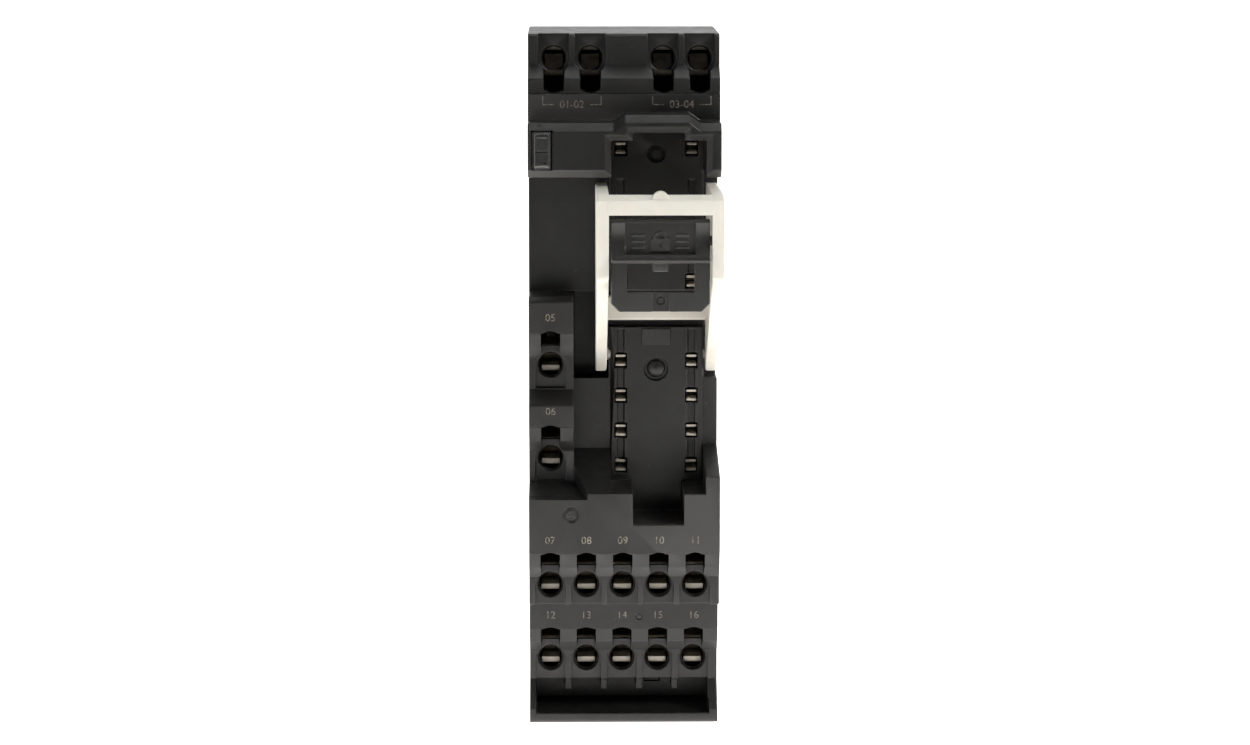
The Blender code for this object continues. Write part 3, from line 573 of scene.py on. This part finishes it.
def drum(x, z, low, high, radius, end_radius=None, sides=32):
    """A round shape that runs forward from height low to high."""
    shape = bmesh.new()
    bmesh.ops.create_cone(
        shape,
        cap_ends=True,
        segments=sides,
        radius1=radius * MM,
        radius2=(radius if end_radius is None else end_radius) * MM,
        depth=(high - low) * MM,
    )
    turn = Matrix.Rotation(math.radians(90), 4, "X")
    place = Matrix.Translation(spot(x, z, (low + high) / 2)) @ turn
    bmesh.ops.transform(shape, matrix=place, verts=shape.verts)
    mesh = bpy.data.meshes.new("drum")
    shape.to_mesh(mesh)
    shape.free()
    return mesh


def block(x0, x1, z0, z1, h0, h1):
    shape = bmesh.new()
    bmesh.ops.create_cube(shape, size=1.0)
    size = Matrix.Diagonal(((x1 - x0) * MM, (h1 - h0) * MM, (z1 - z0) * MM, 1))
    middle = Matrix.Translation(spot((x0 + x1) / 2, (z0 + z1) / 2, (h0 + h1) / 2))
    bmesh.ops.transform(shape, matrix=middle @ size, verts=shape.verts)
    mesh = bpy.data.meshes.new("block")
    shape.to_mesh(mesh)
    shape.free()
    return mesh


def ball(x, z, h, radius, flat=1.0):
    shape = bmesh.new()
    bmesh.ops.create_uvsphere(shape, u_segments=24, v_segments=12, radius=radius * MM)
    place = Matrix.Translation(spot(x, z, h)) @ Matrix.Diagonal((1, flat, 1, 1))
    bmesh.ops.transform(shape, matrix=place, verts=shape.verts)
    mesh = bpy.data.meshes.new("ball")
    shape.to_mesh(mesh)
    shape.free()
    return mesh


def ring(x, z, low, high, outer, inner, sides=40):
    """A flat ring that runs forward from height low to high."""
    shape = bmesh.new()
    loops = []
    for radius, h in ((outer, low), (outer, high), (inner, high), (inner, low)):
        turns = [2 * math.pi * n / sides for n in range(sides)]
        places = [spot(x + radius * math.cos(a), z + radius * math.sin(a), h) for a in turns]
        loops.append([shape.verts.new(place) for place in places])
    for first, second in zip(loops, loops[1:] + loops[:1]):
        for n in range(sides):
            shape.faces.new((first[n], first[(n + 1) % sides], second[(n + 1) % sides], second[n]))
    bmesh.ops.recalc_face_normals(shape, faces=shape.faces)
    mesh = bpy.data.meshes.new("ring")
    shape.to_mesh(mesh)
    shape.free()
    return mesh


def front_details():
    """Moulding marks, the window's guard bead and other small shapes of the front shell."""
    mark_x, mark_z = -7.55, 31.2
    return [
        ("DIFFERENCE", drum(mark_x, mark_z, 12.04, 13.0, 1.18, 1.3)),
        ("UNION", drum(mark_x - 0.1, mark_z + 0.12, 11.9, 12.16, 0.55, 0.45)),
        ("DIFFERENCE", ring(mark_x, mark_z, 11.9, 12.1, 1.02, 0.8)),
        ("DIFFERENCE", ring(2.2, 15.1, 4.82, 5.3, 0.5, 0.28)),
        ("UNION", ball(-11.85, 86.25, 13.05, 0.28)),
        ("DIFFERENCE", block(3.1, 5.4, 3.3, 4.9, -6.3, -5.5)),
    ]


def window_details():
    """Skirt that fills the window opening, and the shallow dish and groove of the light guide's face."""
    return [
        ("UNION", block(-12.88, -10.2, 80.08, 85.36, 7.7, 13.85)),
        ("DIFFERENCE", block(-12.2, -10.8, 80.95, 84.55, 14.1, 14.6)),
        ("DIFFERENCE", block(-12.4, -10.6, 82.5, 82.72, 13.95, 14.6)),
    ]


# ---------------------------------------------------------------- printing and pictogram


def outline_mesh(name, text, x, z, h, size, thick):
    """Text as a thin raised shape that faces forward."""
    curve = bpy.data.curves.new(name, "FONT")
    curve.body = text
    curve.size = size * MM
    curve.align_x = "CENTER"
    curve.align_y = "CENTER"
    curve.extrude = thick * MM
    curve.resolution_u = 4
    holder = link(bpy.data.objects.new(name, curve))
    graph = bpy.context.evaluated_depsgraph_get()
    mesh = bpy.data.meshes.new_from_object(holder.evaluated_get(graph))
    bpy.data.objects.remove(holder)
    mesh.transform(Matrix.Translation(spot(x, z, h)) @ Matrix.Rotation(math.radians(90), 4, "X"))
    return mesh


def joined(name, meshes, paint, body):
    shape = bmesh.new()
    for mesh in meshes:
        shape.from_mesh(mesh)
        bpy.data.meshes.remove(mesh)
    mesh = bpy.data.meshes.new(name)
    shape.to_mesh(mesh)
    shape.free()
    mesh.materials.clear()
    mesh.materials.append(paint)
    for polygon in mesh.polygons:
        polygon.material_index = 0
    piece = link(bpy.data.objects.new(name, mesh))
    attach(piece, body)
    return piece


def terminal_numbers(paint):
    """Plain running numbers, 01 to 16 from the top down, with brackets under the two coil pairs."""
    thick = 0.012
    marks = [(f"{7 + n:02d}", x, 27.45, 12.2) for n, x in enumerate(TERMINAL_X)]
    marks += [(f"{12 + n:02d}", x, 15.3, 5.0) for n, x in enumerate(TERMINAL_X)]
    marks += [("05", -10.4, 58.4, 6.3), ("06", -10.4, 45.0, 6.3)]
    marks += [(text, x, COIL_MARK_Z, 8.3) for text, x in (("01-02", COIL_X[0]), ("03-04", COIL_X[1]))]
    meshes = [outline_mesh("number", text, x, z, h, 1.5, thick) for text, x, z, h in marks]
    line = 0.055
    for middle in COIL_X:
        for side in (-1, 1):
            outer, inner = middle + side * 4.08, middle + side * 2.5
            low, high = sorted((outer, inner))
            meshes.append(block(low, high, COIL_MARK_Z - line, COIL_MARK_Z + line, 8.29, 8.3 + thick))
            meshes.append(block(outer - line, outer + line, COIL_MARK_Z + line, 89.95, 8.29, 8.3 + thick))
    return joined("terminal_numbers", meshes, paint, "socket")


def padlock(h):
    """Outline of a closed padlock, raised from the lever's thumb pad."""
    x, z = POCKET_MIDDLE, 71.2
    shackle = ring(x, z + 0.45, h, h + 0.32, 0.95, 0.58)
    body = block(x - 1.3, x + 1.3, z - 1.35, z + 0.45, h, h + 0.32)
    return [("UNION", shackle), ("UNION", body), ("DIFFERENCE", drum(x, z - 0.35, h + 0.12, h + 1, 0.3))]


def lever_details():
    return padlock(25.1) + [
        ("DIFFERENCE", ring(POCKET_MIDDLE, 63.15, 25.15, 26, 0.62, 0.34)),
        ("UNION", block(0.75, 2.6, 71.0, 71.35, 25.1, 25.38)),
        ("UNION", block(0.75, 2.6, 71.85, 72.2, 25.1, 25.38)),
        ("UNION", block(0.75, 2.6, 70.15, 70.5, 25.1, 25.38)),
        ("UNION", block(6.75, 8.6, 71.0, 71.35, 25.1, 25.38)),
        ("UNION", block(6.75, 8.6, 71.85, 72.2, 25.1, 25.38)),
        ("UNION", block(6.75, 8.6, 70.15, 70.5, 25.1, 25.38)),
    ]


# ---------------------------------------------------------------- pieces


def build():
    dark = charcoal()
    rounded("housing_front", "front_shell", "socket", dark, 0.2, 2, details=front_details())
    rounded("housing_base", "rear_shell", "socket", dark, 0.22, 2)
    rounded("rail_latch", "rail_foot", "foot", dark, 0.2, 2)
    rounded("retaining_clip", "swing_clip", "clip", cream(), 0.38, 4)
    grey = lever_grey()
    rounded("lock_lever", "thumb_lever", "lever", grey, 0.2, 3, details=lever_details())
    tin = rolled("tin", (0.42, 0.385, 0.32), (0.62, 0.58, 0.50), 0.40, (1.0, 0.15, 1.0), 0.4)
    steel = rolled("spring_steel", (0.34, 0.30, 0.23), (0.50, 0.45, 0.36), 0.48, (0.15, 1.0, 1.0), 0.35)
    for node in sorted(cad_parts):
        if node.startswith("conductor"):
            rounded(node, node + "_strip", "socket", tin, 0.07, 2)
        elif node.startswith("clamp_spring") or node == "rail_latch_spring":
            rounded(node, node + "_leaf", "socket", steel, 0.05, 1, angle=50)
    rounded("led_lens", "status_window", "socket", smoke(), 0.3, 4, details=window_details())
    rounded("led_board", "status_board", "socket", board(), 0.08, 1)
    rounded("led_lamp", "status_lamp", "socket", lamp(), 0.1, 2)
    rounded("led_resistor", "status_resistor", "socket", glazed(), 0.08, 2)
    terminal_numbers(printed())


make_camera()
make_floor()
make_studio()
build()
